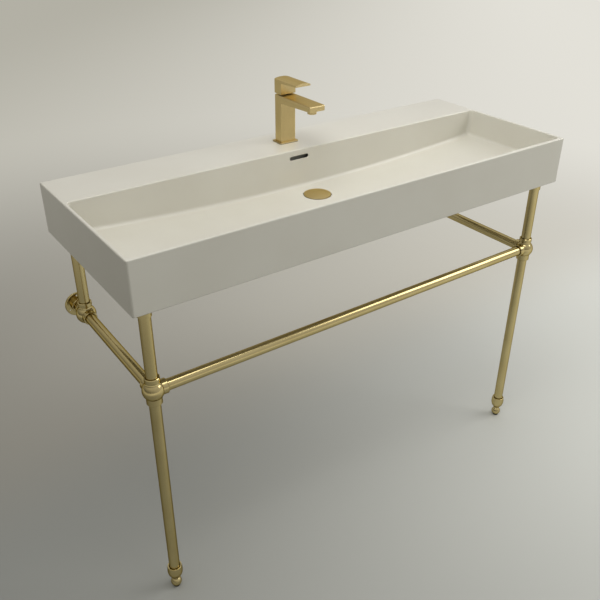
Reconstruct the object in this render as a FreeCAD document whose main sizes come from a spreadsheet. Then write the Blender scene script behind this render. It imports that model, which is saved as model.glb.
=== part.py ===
import FreeCAD, Part
import math
import os
import Sketcher
from types import SimpleNamespace

# A wall-fixed console sink: a fireclay trough on a brass stand, with a square mixer
# tap and a push waste. Millimetres, +X right, +Y into the wall, +Z up. The origin is
# midway between the two wall bolts, on the wall.

SIZES = {
    # Basin: one fireclay casting, deeper at the drain than at its ends
    "basin_width": 1216,
    "basin_depth": 463,
    "basin_height": 120,
    "rim_above_bolts": 60,
    "side_rim": 8,
    "front_rim": 10.5,
    "deck_depth": 144.5,
    "bowl_depth_at_ends": 71,
    "bowl_depth_at_drain": 98,
    "bowl_draft": 4,
    "bowl_corner_radius": 10,
    "bowl_floor_radius": 9.5,
    "rim_round": 3,
    "front_corner_radius": 5,
    "back_corner_radius": 2,
    "under_edge_round": 3,
    "deck_thickness": 16,
    "back_wall": 14,
    "bowl_back_wall": 18,
    "cavity_width": 1060,
    "wall_bolt_spacing": 560,
    "wall_bolt_hole": 14,
    # Overflow: a slot under the shelf's edge and a duct down to the drain
    "overflow_width": 56,
    "overflow_height": 10,
    "overflow_drop": 20,
    "overflow_offset": 8,
    "duct_skin": 5,
    "duct_depth": 8,
    "duct_width": 62,
    "duct_passage_width": 40,
    "duct_passage_height": 7,
    "duct_floor": 6,
    # Drain: a flanged waste clamped through the basin floor
    "drain_set_back": 212,
    "drain_hole": 46,
    "drain_seat_diameter": 71,
    "drain_seat_depth": 5.5,
    "drain_gasket_thickness": 1.5,
    "drain_flange_diameter": 66,
    "drain_flange_drop": 1.5,
    "drain_tube_diameter": 42,
    "drain_bore": 36,
    "drain_tube_length": 75,
    "drain_ledge_drop": 30,
    "drain_window_width": 14,
    "lower_gasket_diameter": 60,
    "lower_gasket_thickness": 6,
    "lock_nut_width": 58,
    "lock_nut_height": 9,
    "tail_diameter": 31.75,
    "tail_wall": 1.2,
    "tail_head_step": 1.2,
    "tail_head_below": 2,
    "tail_engagement": 17,
    "tail_length": 112,
    # Push waste: a domed cap on a plunger, guided in a perforated cartridge
    "cap_diameter": 68,
    "cap_sink": 0.5,
    "cap_edge": 2,
    "cap_crown": 3,
    "cap_boss_diameter": 26,
    "cap_boss_drop": 5,
    "cap_chamfer": 0.8,
    "seal_gap": 0.3,
    "seal_drop": 1,
    "seal_thickness": 3,
    "plunger_diameter": 8,
    "plunger_drop": 44,
    "plunger_collar_diameter": 11,
    "plunger_collar_height": 2,
    "guide_diameter": 16,
    "guide_top_drop": 12,
    "guide_bottom_drop": 46,
    "guide_plate_thickness": 3,
    "guide_hole": 7.5,
    # Tap: square column with a flat spout, standing on the shelf
    "faucet_set_back": 72,
    "faucet_hole": 32,
    "column_width": 43,
    "column_depth": 28,
    "column_top": 120,
    "column_edge": 2,
    "base_gasket_thickness": 1,
    "base_plate_thickness": 3,
    "base_plate_flare": 5.5,
    "base_plate_bevel": 1,
    "base_gasket_inset": 1,
    "base_opening": 26,
    "spout_reach": 135,
    "spout_root_thickness": 18,
    "spout_tip_thickness": 12.8,
    "spout_tip_round": 3.5,
    "spout_edge": 1.2,
    "waterway_width": 24,
    "waterway_height": 5,
    "waterway_roof": 3.5,
    "waterway_fall": 6,
    "aerator_set_out": 113,
    "aerator_diameter": 22,
    "aerator_thread": 18.5,
    "aerator_bore": 16,
    "aerator_seat_drop": 11.5,
    "aerator_engagement": 3,
    "aerator_drop": 23,
    "aerator_lip": 1.5,
    # Cartridge: body and nut in the column, a turntable that carries the stem
    "chamber_diameter": 22,
    "chamber_depth": 44,
    "cartridge_diameter": 21,
    "cartridge_height": 34,
    "cartridge_nut_diameter": 24,
    "cartridge_nut_height": 9,
    "cartridge_nut_opening": 16.5,
    "turntable_diameter": 15.5,
    "turntable_recess": 6,
    "turntable_height": 15.5,
    "turntable_slot_length": 10.8,
    "stem_well_diameter": 13,
    "stem_well_depth": 17,
    "stem_width": 6,
    "stem_slot_gap": 0.3,
    "stem_below_pivot": 12,
    "stem_above_pivot": 32,
    "pivot_drop": 8,
    "pin_diameter": 3,
    "pin_length": 13,
    # Lever: a hollow block on the stem with a flat blade towards the user
    "head_gap": 3,
    "head_height": 37.5,
    "head_wall": 3,
    "head_overhang": 1.5,
    "head_hollow_height": 24,
    "head_relief": 1.7,
    "head_relief_start": 9,
    "head_back_round": 2.5,
    "head_crown": 3.7,
    "lever_reach": 78,
    "blade_root_thickness": 10.5,
    "blade_tip_thickness": 7,
    "blade_tip_round": 1.5,
    "stem_block_width": 14,
    "set_screw_diameter": 5,
    "set_screw_length": 6,
    "set_screw_rise": 12,
    "plug_depth": 3,
    # Tap fixing and inlets, under the shelf
    "inlet_thread": 9,
    "inlet_depth": 14,
    "inlet_spacing": 14,
    "inlet_offset": 3,
    "inlet_channel": 6,
    "stud_diameter": 8,
    "stud_offset": 8.5,
    "stud_depth": 20,
    "stud_drop": 50,
    "clamp_diameter": 50,
    "clamp_gasket_thickness": 3,
    "clamp_plate_thickness": 3,
    "clamp_slot_width": 27,
    "clamp_slot_end": 3,
    "stud_nut_width": 13,
    "stud_nut_height": 10,
    # Stand: brass tubes in ball joints, 36 in from rim to floor
    "stand_height": 915,
    "rail_drop": 322,
    "post_inset": 37.5,
    "rear_post_set_back": 58,
    "tube_diameter": 25.4,
    "tube_wall": 1.5,
    "ball_diameter": 47.5,
    "socket_diameter": 33,
    "socket_lip": 1.2,
    "mouth_relief": 0.9,
    "mouth_relief_depth": 2.5,
    "leg_collar_diameter": 34,
    "ball_crease_drop": 15,
    "ball_groove_width": 1.4,
    "ball_groove_diameter": 30.5,
    "neck_waist_diameter": 30,
    "neck_waist_run": 1,
    "neck_flare": 8,
    "neck_reach": 33.5,
    "neck_depth": 20,
    "rail_socket_reach": 30,
    "rail_socket_depth": 13,
    "leg_socket_reach": 32.5,
    "leg_socket_depth": 15,
    "wall_socket_reach": 28,
    "wall_socket_depth": 10,
    "grub_diameter": 4,
    "grub_length": 3,
    "grub_inset": 6,
    "grub_key_width": 2,
    "grub_key_depth": 1.5,
    "post_cap_diameter": 48,
    "post_cap_thickness": 4,
    "post_cap_chamfer": 0.8,
    "post_cap_spigot": 15,
    "post_cap_skirt": 17.5,
    "post_cap_skirt_lip": 2,
    "post_cap_round": 4,
    "post_pad_diameter": 45,
    "post_pad_thickness": 2,
    # Wall flanges of the side rails
    "flange_diameter": 62,
    "flange_thickness": 5,
    "flange_round": 2,
    "flange_hub_diameter": 36,
    "flange_hub_reach": 16,
    "flange_floor": 5,
    "flange_screw_circle": 47,
    "flange_screw_hole": 5.5,
    # Feet: a cup round the leg, a ball on a levelling stud and a rubber pad
    "foot_cup_diameter": 36.5,
    "foot_cup_mouth_diameter": 34,
    "foot_cup_lip": 1,
    "foot_cup_gap": 1.4,
    "foot_cup_mouth": 68,
    "foot_cup_shoulder": 52,
    "foot_cup_bottom": 29.5,
    "foot_cup_floor": 11.5,
    "foot_neck_diameter": 15,
    "foot_ball_diameter": 26,
    "foot_ball_rise": 13.6,
    "foot_stud_diameter": 10,
    "foot_stud_top": 70,
    "foot_pad_diameter": 16,
    "foot_pad_thickness": 3,
    "foot_pad_nib_diameter": 6,
    "foot_pad_nib_height": 3,
    "leg_end_rise": 43,
    "leg_insert_length": 22,
    # Clearances, and how far every cut runs past its face
    "socket_clearance": 0.1,
    "thread_clearance": 0.05,
    "running_clearance": 0.05,
    "overrun": 10,
}

FLANGE_SCREWS = 3
GUIDE_HOLES = 5
CLEAR_ZERO = 1e-9


class Size:
    """A length that carries its number and the sheet formula that gives it."""

    def __init__(self, formula, number):
        self.formula = formula
        self.number = number

    def joined(self, sign, other, number):
        return Size(f"({self.formula} {sign} {sized(other).formula})", number)

    def __add__(self, other):
        return self.joined("+", other, self.number + sized(other).number)

    def __sub__(self, other):
        return self.joined("-", other, self.number - sized(other).number)

    def __mul__(self, other):
        return self.joined("*", other, self.number * sized(other).number)

    def __truediv__(self, other):
        return self.joined("/", other, self.number / sized(other).number)

    def __rsub__(self, other):
        return sized(other) - self

    def __neg__(self):
        return Size(f"(-{self.formula})", -self.number)


def sized(value):
    return value if isinstance(value, Size) else Size(str(value), value)


doc = FreeCAD.newDocument("console_sink")
sheet = doc.addObject("Spreadsheet::Sheet", "sizes")
for row, (alias, number) in enumerate(SIZES.items(), start=1):
    sheet.set(f"A{row}", alias)
    sheet.set(f"B{row}", str(number))
    sheet.setAlias(f"B{row}", alias)
doc.recompute()
s = SimpleNamespace(**{alias: Size(f"sizes.{alias}", number) for alias, number in SIZES.items()})

ZERO = sized(0)
UP = FreeCAD.Vector(0, 0, 1)
DOWN = FreeCAD.Vector(0, 0, -1)
RIGHT = FreeCAD.Vector(1, 0, 0)
LEFT = FreeCAD.Vector(-1, 0, 0)
TO_WALL = FreeCAD.Vector(0, 1, 0)
TO_USER = FreeCAD.Vector(0, -1, 0)

pieces = []


def bind(item, prop, size):
    item.setExpression(prop, sized(size).formula)


def place(item, spot, towards=UP):
    """Stand an object's own Z axis towards a direction, with its origin at a spot."""
    item.Placement = FreeCAD.Placement(FreeCAD.Vector(), FreeCAD.Rotation(UP, towards))
    for axis, size in zip("xyz", spot):
        bind(item, f"Placement.Base.{axis}", size)
    return item


def piece(item, label, spot=(ZERO, ZERO, ZERO), towards=UP):
    """Name an object as one sub-part and put it in its place."""
    item.Label = label
    pieces.append(item)
    return place(item, spot, towards)


def hold(sketch, curve, end, h, v):
    """Fix one end of a sketched stretch at its distances from the sketch's origin."""
    for kind, size, axis in (("DistanceX", h, -2), ("DistanceY", v, -1)):
        if abs(size.number) < CLEAR_ZERO:
            sketch.addConstraint(Sketcher.Constraint("PointOnObject", curve, end, axis))
        else:
            index = sketch.addConstraint(Sketcher.Constraint(kind, -1, 1, curve, end, size.number))
            bind(sketch, f"Constraints[{index}]", size)


def new_sketch(body, plane, name, rise):
    """Empty sketch on an origin plane of its body, moved by rise along the plane's normal."""
    sketch = body.newObject("Sketcher::SketchObject", name)
    support = [item for item in body.Origin.OriginFeatures if item.Role == plane][0]
    sketch.AttachmentSupport = [(support, "")]
    sketch.MapMode = "FlatFace"
    bind(sketch, "AttachmentOffset.Base.z", rise)
    return sketch


def arc_between(start, end, radius):
    """Arc that turns left from start to end, or right where the radius is negative."""
    chord = end - start
    half = chord.Length / 2
    offset = math.sqrt(max(0, radius * radius - half * half))
    left = FreeCAD.Vector(-chord.y, chord.x, 0).normalize()
    centre = (start + end) / 2 + left * math.copysign(offset, radius)
    angles = [math.atan2(point.y - centre.y, point.x - centre.x) for point in (start, end)]
    if radius < 0:
        angles.reverse()
    return Part.ArcOfCircle(Part.Circle(centre, UP, abs(radius)), *angles)


def outline(body, plane, name, points, rise=ZERO):
    """Closed outline. A point's third value, a radius, rounds the stretch that it starts."""
    sketch = new_sketch(body, plane, name, rise)
    points = [tuple(sized(value) for value in point) for point in points]
    spots = [FreeCAD.Vector(point[0].number, point[1].number, 0) for point in points]
    ends = []
    for i, point in enumerate(points):
        start, end = spots[i], spots[(i + 1) % len(spots)]
        if len(point) < 3:
            sketch.addGeometry(Part.LineSegment(start, end))
            ends.append((1, 2))
            continue
        sketch.addGeometry(arc_between(start, end, point[2].number))
        ends.append((1, 2) if point[2].number > 0 else (2, 1))
        index = sketch.addConstraint(Sketcher.Constraint("Radius", i, abs(point[2].number)))
        bind(sketch, f"Constraints[{index}]", point[2] if point[2].number > 0 else -point[2])
    for i, point in enumerate(points):
        after = (i + 1) % len(points)
        sketch.addConstraint(Sketcher.Constraint("Coincident", i, ends[i][1], after, ends[after][0]))
        hold(sketch, i, ends[i][0], point[0], point[1])
    return sketch


def circles(body, plane, name, centres, diameter, rise=ZERO):
    """One sketch with an equal circle at each centre."""
    sketch = new_sketch(body, plane, name, rise)
    for i, (h, v) in enumerate(centres):
        h, v = sized(h), sized(v)
        centre = FreeCAD.Vector(h.number, v.number, 0)
        sketch.addGeometry(Part.Circle(centre, UP, diameter.number / 2))
        hold(sketch, i, 3, h, v)
        index = sketch.addConstraint(Sketcher.Constraint("Diameter", i, diameter.number))
        bind(sketch, f"Constraints[{index}]", diameter)
    return sketch


def oblong(left, right, low, high):
    return [(left, low), (right, low), (right, high), (left, high)]


def extrude(body, kind, sketch, length, along_normal=True, both_ways=False):
    """Pad or Pocket of a sketch, along its plane's normal, against it or both ways."""
    feature = body.newObject(f"PartDesign::{kind}", f"{sketch.Name}_{kind.lower()}")
    feature.Profile = sketch
    bind(feature, "Length", length)
    feature.Reversed = along_normal == (kind == "Pocket")
    if both_ways:
        feature.SideType = "Symmetric"
    return feature


def spin(body, kind, sketch):
    """Revolution or Groove of a sketch about its upright axis."""
    feature = body.newObject(f"PartDesign::{kind}", f"{sketch.Name}_{kind.lower()}")
    feature.Profile = sketch
    feature.ReferenceAxis = (sketch, ["V_Axis"])
    feature.Angle = 360
    return feature


def new_body(label):
    return doc.addObject("PartDesign::Body", label)


def turned(label, points):
    """Body of revolution about its own Z axis, from the half outline of (radius, height)."""
    body = new_body(label)
    spin(body, "Revolution", outline(body, "XZ_Plane", f"{label}_profile", points))
    return body


def ring(label, inner, outer, low, high):
    return turned(label, oblong(inner, outer, low, high))


def rounded(body, name, radius, picked):
    """Round those edges of the body's latest shape that a test picks."""
    doc.recompute()
    base = body.Tip
    edges = [f"Edge{i}" for i, edge in enumerate(base.Shape.Edges, start=1) if picked(edge)]
    fillet = body.newObject("PartDesign::Fillet", name)
    fillet.Base = (base, edges)
    bind(fillet, "Radius", radius)
    return fillet


def near(number, size):
    return abs(number - sized(size).number) < s.thread_clearance.number


def solid(kind, spot, towards=UP, **sizes):
    """Part primitive with its sizes bound to the sheet."""
    item = doc.addObject(f"Part::{kind}", kind.lower())
    for prop, size in sizes.items():
        bind(item, prop, size)
    return place(item, spot, towards)


def fused(shapes):
    item = doc.addObject("Part::MultiFuse", "fused")
    item.Shapes = shapes
    item.Refine = True
    return item


def cut(base, tools):
    item = doc.addObject("Part::Cut", "cut")
    item.Base = base
    item.Tool = fused(tools) if len(tools) > 1 else tools[0]
    item.Refine = True
    return item


def moved(spot, direction, distance):
    """Spot at a distance from another one, along one of the row's axes."""
    return tuple(size + distance * int(share) for size, share in zip(spot, direction))


def root(square):
    """Square root of a size."""
    return Size(f"sqrt({square.formula})", math.sqrt(square.number))


def chord_half(radius, offset):
    """Half length of a circle's chord at an offset from its centre."""
    return root(radius * radius - offset * offset)


def belly(spread, rise):
    """Radius of the arc that spreads over a rise and ends upright."""
    return (spread * spread + rise * rise) / (spread * 2)


# Levels and lines that several pieces share

rim = s.rim_above_bolts
under = rim - s.basin_height
deck_under = rim - s.deck_thickness
bowl_floor = rim - s.bowl_depth_at_drain
floor = rim - s.stand_height
rail_level = rim - s.rail_drop
half_width = s.basin_width / 2
post_x = half_width - s.post_inset
front_post_y = s.post_inset - s.basin_depth
rear_post_y = -s.rear_post_set_back
tube_radius = s.tube_diameter / 2
tube_bore_radius = tube_radius - s.tube_wall
socket_bore_radius = tube_radius + s.socket_clearance


# Basin

basin = piece(new_body("basin"), "basin")


def basin_block():
    """Outer block with rounded upright corners, tighter against the wall."""
    front, back = s.front_corner_radius, s.back_corner_radius
    near_user, at_wall = -s.basin_depth, ZERO
    points = [
        (front - half_width, near_user),
        (half_width - front, near_user, front),
        (half_width, near_user + front),
        (half_width, at_wall - back, back),
        (half_width - back, at_wall),
        (back - half_width, at_wall, back),
        (-half_width, at_wall - back),
        (-half_width, near_user + front, front),
    ]
    extrude(basin, "Pad", outline(basin, "XY_Plane", "block", points, under), s.basin_height)


def basin_bowl():
    """Bowl with slightly drawn-in ends and a floor that falls in an arc to its middle."""
    mouth = half_width - s.side_rim
    end = mouth - s.bowl_draft
    fall = s.bowl_depth_at_drain - s.bowl_depth_at_ends
    sweep = (end * end + fall * fall) / (fall * 2)
    low = rim - s.bowl_depth_at_ends
    points = [
        (-end, low, sweep),
        (end, low),
        (mouth, rim),
        (mouth, rim + s.overrun),
        (-mouth, rim + s.overrun),
        (-mouth, rim),
    ]
    length = s.basin_depth - s.deck_depth - s.front_rim
    extrude(basin, "Pocket", outline(basin, "XZ_Plane", "bowl", points, s.deck_depth), length)


def is_bowl_corner(edge):
    """Steep edges where the bowl's ends meet its front and back walls."""
    box = edge.BoundBox
    on_wall = near(box.YMin, s.front_rim - s.basin_depth) or near(box.YMax, -s.deck_depth)
    steep = box.ZLength > max(box.XLength, s.bowl_depth_at_ends.number / 2)
    return on_wall and near(box.YLength, 0) and steep and box.ZMin > under.number


def is_bowl_floor_edge(edge):
    box = edge.BoundBox
    low = box.ZMax < (rim - s.bowl_depth_at_ends / 2).number
    return low and box.ZMin > (bowl_floor - s.rim_round).number


def is_rim_edge(edge):
    return near(edge.BoundBox.ZMin, rim)


def is_under_edge(edge):
    return near(edge.BoundBox.ZMax, under)


def basin_space_under_deck():
    """Space under the shelf, open below, between a solid block for each rear post."""
    half = s.cavity_width / 2
    points = oblong(-half, half, s.bowl_back_wall - s.deck_depth, -s.back_wall)
    sketch = outline(basin, "XY_Plane", "space_under_deck", points, under)
    extrude(basin, "Pocket", sketch, s.basin_height - s.deck_thickness)


def basin_holes():
    """Tap hole, drain seat and hole, and the two wall bolt holes."""
    tap = circles(basin, "XY_Plane", "tap_hole", [(0, -s.faucet_set_back)], s.faucet_hole, rim)
    extrude(basin, "Pocket", tap, s.deck_thickness + s.overrun, along_normal=False)
    spot = [(0, -s.drain_set_back)]
    seat_top = bowl_floor + s.drain_seat_depth
    seat = circles(basin, "XY_Plane", "drain_seat", spot, s.drain_seat_diameter, seat_top)
    extrude(basin, "Pocket", seat, s.drain_seat_depth * 2, along_normal=False)
    hole = circles(basin, "XY_Plane", "drain_hole", spot, s.drain_hole, bowl_floor)
    extrude(basin, "Pocket", hole, s.basin_height, along_normal=False)
    bolts = [(-s.wall_bolt_spacing / 2, 0), (s.wall_bolt_spacing / 2, 0)]
    sketch = circles(basin, "XZ_Plane", "wall_bolt_holes", bolts, s.wall_bolt_hole)
    extrude(basin, "Pocket", sketch, s.back_wall + s.overrun)


def basin_overflow():
    """Slot in the bowl's back wall, the duct behind it and the passage to the drain."""
    half = (s.overflow_width - s.overflow_height) / 2
    radius = s.overflow_height / 2
    level = rim - s.overflow_drop
    left, right = -s.overflow_offset - half, half - s.overflow_offset
    points = [
        (left, level - radius),
        (right, level - radius, radius),
        (right + radius, level, radius),
        (right, level + radius),
        (left, level + radius, radius),
        (left - radius, level, radius),
    ]
    slot = outline(basin, "XZ_Plane", "overflow_slot", points, s.deck_depth)
    extrude(basin, "Pocket", slot, s.duct_skin + s.duct_depth, along_normal=False)
    duct_front = s.duct_skin - s.deck_depth
    duct_back = duct_front + s.duct_depth
    bottom = under + s.duct_floor
    half_duct = s.duct_width / 2
    duct = oblong(-s.overflow_offset - half_duct, half_duct - s.overflow_offset, duct_front, duct_back)
    top = level + s.overflow_height
    sketch = outline(basin, "XY_Plane", "overflow_duct", duct, top)
    extrude(basin, "Pocket", sketch, top - bottom, along_normal=False)
    half_passage = s.duct_passage_width / 2
    passage = oblong(-half_passage, half_passage, -s.drain_set_back, duct_back)
    sketch = outline(basin, "XY_Plane", "overflow_passage", passage, bottom)
    extrude(basin, "Pocket", sketch, s.duct_passage_height)


basin_block()
basin_bowl()
rounded(basin, "bowl_corners", s.bowl_corner_radius, is_bowl_corner)
rounded(basin, "bowl_floor_edge", s.bowl_floor_radius, is_bowl_floor_edge)
rounded(basin, "rim_edges", s.rim_round, is_rim_edge)
rounded(basin, "under_edges", s.under_edge_round, is_under_edge)
basin_space_under_deck()
basin_holes()
basin_overflow()


# Drain, about its own axis with its zero at the bowl's floor

drain_spot = (ZERO, -s.drain_set_back, bowl_floor)
seat = -s.drain_seat_depth
flange_under = seat + s.drain_gasket_thickness
flange_top = -s.drain_flange_drop
basin_under = under - bowl_floor
drain_end = -s.drain_tube_length
drain_tube_radius = s.drain_tube_diameter / 2
tail_radius = s.tail_diameter / 2
tail_head_radius = tail_radius + s.tail_head_step
plunger_radius = s.plunger_diameter / 2


def drain_body():
    """Waste tube with its flange, a ledge for the guide and two overflow windows."""
    bore = s.drain_bore / 2
    throat = tail_head_radius + s.thread_clearance
    flange = s.drain_flange_diameter / 2
    body = turned("drain_body", [
        (bore, flange_top),
        (bore, -s.drain_ledge_drop),
        (throat, -s.drain_ledge_drop),
        (throat, drain_end),
        (drain_tube_radius, drain_end),
        (drain_tube_radius, flange_under),
        (flange, flange_under),
        (flange, flange_top),
    ])
    half = s.drain_window_width / 2
    bottom = basin_under + s.duct_floor
    window = oblong(-half, half, bottom, bottom + s.duct_passage_height)
    sketch = outline(body, "XZ_Plane", "overflow_windows", window)
    extrude(body, "Pocket", sketch, s.drain_tube_diameter + s.overrun, both_ways=True)
    piece(body, "drain_body", drain_spot)


def drain_clamping():
    """Gasket under the flange, and below the basin the thick gasket and its nut."""
    top = ring("drain_top_gasket", s.drain_hole / 2, s.drain_flange_diameter / 2, seat, flange_under)
    piece(top, "drain_top_gasket", drain_spot)
    gasket_under = basin_under - s.lower_gasket_thickness
    bore = drain_tube_radius + s.thread_clearance
    lower = ring("drain_lower_gasket", bore, s.lower_gasket_diameter / 2, gasket_under, basin_under)
    piece(lower, "drain_lower_gasket", drain_spot)
    nut_under = gasket_under - s.lock_nut_height
    spot = moved(drain_spot, UP, nut_under)
    circumradius = s.lock_nut_width / math.sqrt(3)
    prism = solid("Prism", (ZERO, ZERO, ZERO), Circumradius=circumradius, Height=s.lock_nut_height)
    core = solid("Cylinder", (ZERO, ZERO, ZERO), Radius=bore, Height=s.lock_nut_height)
    piece(cut(prism, [core]), "drain_lock_nut", spot)


def drain_tailpiece():
    """Plain tube for a trap to slide on, with a thicker threaded head in the drain."""
    bore = tail_radius - s.tail_wall
    top = drain_end + s.tail_engagement
    head_under = drain_end - s.tail_head_below
    tail = turned("drain_tailpiece", [
        (bore, top - s.tail_length),
        (tail_radius, top - s.tail_length),
        (tail_radius, head_under),
        (tail_head_radius, head_under),
        (tail_head_radius, top),
        (bore, top),
    ])
    piece(tail, "drain_tailpiece", drain_spot)


def drain_cartridge():
    """Guide of the push waste: a barrel in a perforated plate on the drain's ledge."""
    bore = plunger_radius + s.running_clearance
    barrel = s.guide_diameter / 2
    plate = s.drain_bore / 2 - s.socket_clearance
    plate_under = -s.drain_ledge_drop
    plate_top = plate_under + s.guide_plate_thickness
    body = turned("drain_cartridge", [
        (bore, -s.guide_bottom_drop),
        (barrel, -s.guide_bottom_drop),
        (barrel, plate_under),
        (plate, plate_under),
        (plate, plate_top),
        (barrel, plate_top),
        (barrel, -s.guide_top_drop),
        (bore, -s.guide_top_drop),
    ])
    middle = (plate + barrel) / 2
    sketch = circles(body, "XY_Plane", "guide_hole", [(middle, 0)], s.guide_hole, plate_top)
    hole = extrude(body, "Pocket", sketch, s.guide_plate_thickness + s.overrun, along_normal=False)
    pattern(body, hole, GUIDE_HOLES)
    piece(body, "drain_cartridge", drain_spot)


def pattern(body, feature, count):
    """Repeat a feature evenly about the body's Z axis."""
    doc.recompute()
    polar = body.newObject("PartDesign::PolarPattern", f"{feature.Name}_pattern")
    polar.Originals = [feature]
    axis = [item for item in body.Origin.OriginFeatures if item.Role == "Z_Axis"][0]
    polar.Axis = (axis, [""])
    polar.Occurrences = count
    body.Tip = polar


def drain_cap_set():
    """Domed cap with its boss, the seal round the boss and the plunger below it."""
    radius = s.cap_diameter / 2
    boss = s.cap_boss_diameter / 2
    low = -s.cap_sink
    edge = low + s.cap_edge
    dome = (radius * radius + s.cap_crown * s.cap_crown) / (s.cap_crown * 2)
    cap = turned("drain_cap", [
        (ZERO, low),
        (plunger_radius, low),
        (plunger_radius, -s.cap_boss_drop),
        (boss, -s.cap_boss_drop),
        (boss, low),
        (radius - s.cap_chamfer, low),
        (radius, low + s.cap_chamfer),
        (radius, edge, dome),
        (ZERO, edge + s.cap_crown),
    ])
    piece(cap, "drain_cap", drain_spot)
    outer = s.drain_bore / 2 - s.seal_gap
    seal = ring("drain_cap_seal", boss, outer, -s.seal_drop - s.seal_thickness, -s.seal_drop)
    piece(seal, "drain_cap_seal", drain_spot)
    collar = s.plunger_collar_diameter / 2
    collar_under = s.seal_gap - s.guide_top_drop
    collar_top = collar_under + s.plunger_collar_height
    plunger = turned("drain_plunger", [
        (ZERO, -s.plunger_drop),
        (plunger_radius, -s.plunger_drop),
        (plunger_radius, collar_under),
        (collar, collar_under),
        (collar, collar_top),
        (plunger_radius, collar_top),
        (plunger_radius, low),
        (ZERO, low),
    ])
    piece(plunger, "drain_plunger", drain_spot)


drain_body()
drain_clamping()
drain_tailpiece()
drain_cartridge()
drain_cap_set()


# Tap, about its own axis with its zero on the shelf

tap_spot = (ZERO, -s.faucet_set_back, rim)
half_column_width = s.column_width / 2
half_column_depth = s.column_depth / 2
column_foot = s.base_gasket_thickness + s.base_plate_thickness
chamber_floor = s.column_top - s.chamber_depth
cartridge_top = chamber_floor + s.cartridge_height
pivot = s.column_top - s.pivot_drop
stud_y = s.stud_offset
clamp_gasket_under = -s.deck_thickness - s.clamp_gasket_thickness
clamp_under = clamp_gasket_under - s.clamp_plate_thickness


def rounded_square(half_x, half_y, radius):
    """Corners of a rectangle about the axis with rounded corners."""
    return [
        (radius - half_x, -half_y),
        (half_x - radius, -half_y, radius),
        (half_x, radius - half_y),
        (half_x, half_y - radius, radius),
        (half_x - radius, half_y),
        (radius - half_x, half_y, radius),
        (-half_x, half_y - radius),
        (-half_x, radius - half_y, radius),
    ]


def faucet_body():
    """Column and spout in one casting, with its cartridge chamber and waterways."""
    body = new_body("faucet_body")
    square = rounded_square(half_column_width, half_column_depth, s.column_edge)
    column = outline(body, "XY_Plane", "column", square, column_foot)
    extrude(body, "Pad", column, s.column_top - column_foot)
    tip = -s.spout_reach
    root_under = s.column_top - s.spout_root_thickness
    tip_under = s.column_top - s.spout_tip_thickness
    nose = s.spout_tip_round
    points = [
        (ZERO, root_under),
        (ZERO, s.column_top),
        (tip + nose, s.column_top, nose),
        (tip, s.column_top - nose),
        (tip, tip_under),
        (-half_column_depth, root_under),
    ]
    spout = outline(body, "YZ_Plane", "spout", points)
    extrude(body, "Pad", spout, s.column_width, both_ways=True)
    rounded(body, "spout_edges", s.spout_edge, is_spout_edge)
    chamber = circles(body, "XY_Plane", "chamber", [(0, 0)], s.chamber_diameter, s.column_top)
    extrude(body, "Pocket", chamber, s.chamber_depth, along_normal=False)
    nut_bore = s.cartridge_nut_diameter + s.thread_clearance * 2
    nut_seat = circles(body, "XY_Plane", "nut_seat", [(0, 0)], nut_bore, s.column_top)
    extrude(body, "Pocket", nut_seat, s.column_top - cartridge_top, along_normal=False)
    faucet_waterways(body)
    piece(body, "faucet_body", tap_spot)


def is_spout_edge(edge):
    """Upper side edges of the spout, and those of its nose."""
    box = edge.BoundBox
    at_side = near(box.XLength, 0) and near(abs(box.XMin), half_column_width)
    ahead = box.YMin < -half_column_depth.number
    return at_side and ahead and box.ZMin > (s.column_top - s.spout_root_thickness).number


def faucet_waterways(body):
    """Spout channel, aerator seat, the two threaded inlets and the stud's hole."""
    out = -s.aerator_set_out
    roof = s.column_top - s.waterway_roof
    inner = s.waterway_height - s.chamber_diameter / 2
    points = [
        (inner, roof - s.waterway_fall - s.waterway_height),
        (inner, roof - s.waterway_fall),
        (out, roof),
        (out, roof - s.waterway_height),
    ]
    channel = outline(body, "YZ_Plane", "spout_channel", points)
    extrude(body, "Pocket", channel, s.waterway_width, both_ways=True)
    seat_level = s.column_top - s.aerator_seat_drop
    thread = s.aerator_thread + s.thread_clearance * 2
    bore = circles(body, "XY_Plane", "aerator_bore", [(0, out)], thread, roof)
    extrude(body, "Pocket", bore, s.spout_root_thickness + s.overrun, along_normal=False)
    face = s.aerator_diameter + s.socket_clearance * 2
    spot_face = circles(body, "XY_Plane", "aerator_seat", [(0, out)], face, seat_level)
    extrude(body, "Pocket", spot_face, s.spout_root_thickness + s.overrun, along_normal=False)
    inlets = [(side * s.inlet_spacing / 2, -s.inlet_offset) for side in (sized(-1), sized(1))]
    threads = circles(body, "XY_Plane", "inlets", inlets, s.inlet_thread, column_foot)
    extrude(body, "Pocket", threads, s.inlet_depth)
    channels = circles(body, "XY_Plane", "inlet_channels", inlets, s.inlet_channel, column_foot)
    extrude(body, "Pocket", channels, chamber_floor - column_foot + s.running_clearance)
    hole = s.stud_diameter + s.thread_clearance * 2
    stud = circles(body, "XY_Plane", "stud_hole", [(0, stud_y)], hole, column_foot)
    extrude(body, "Pocket", stud, s.stud_depth)


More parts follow.
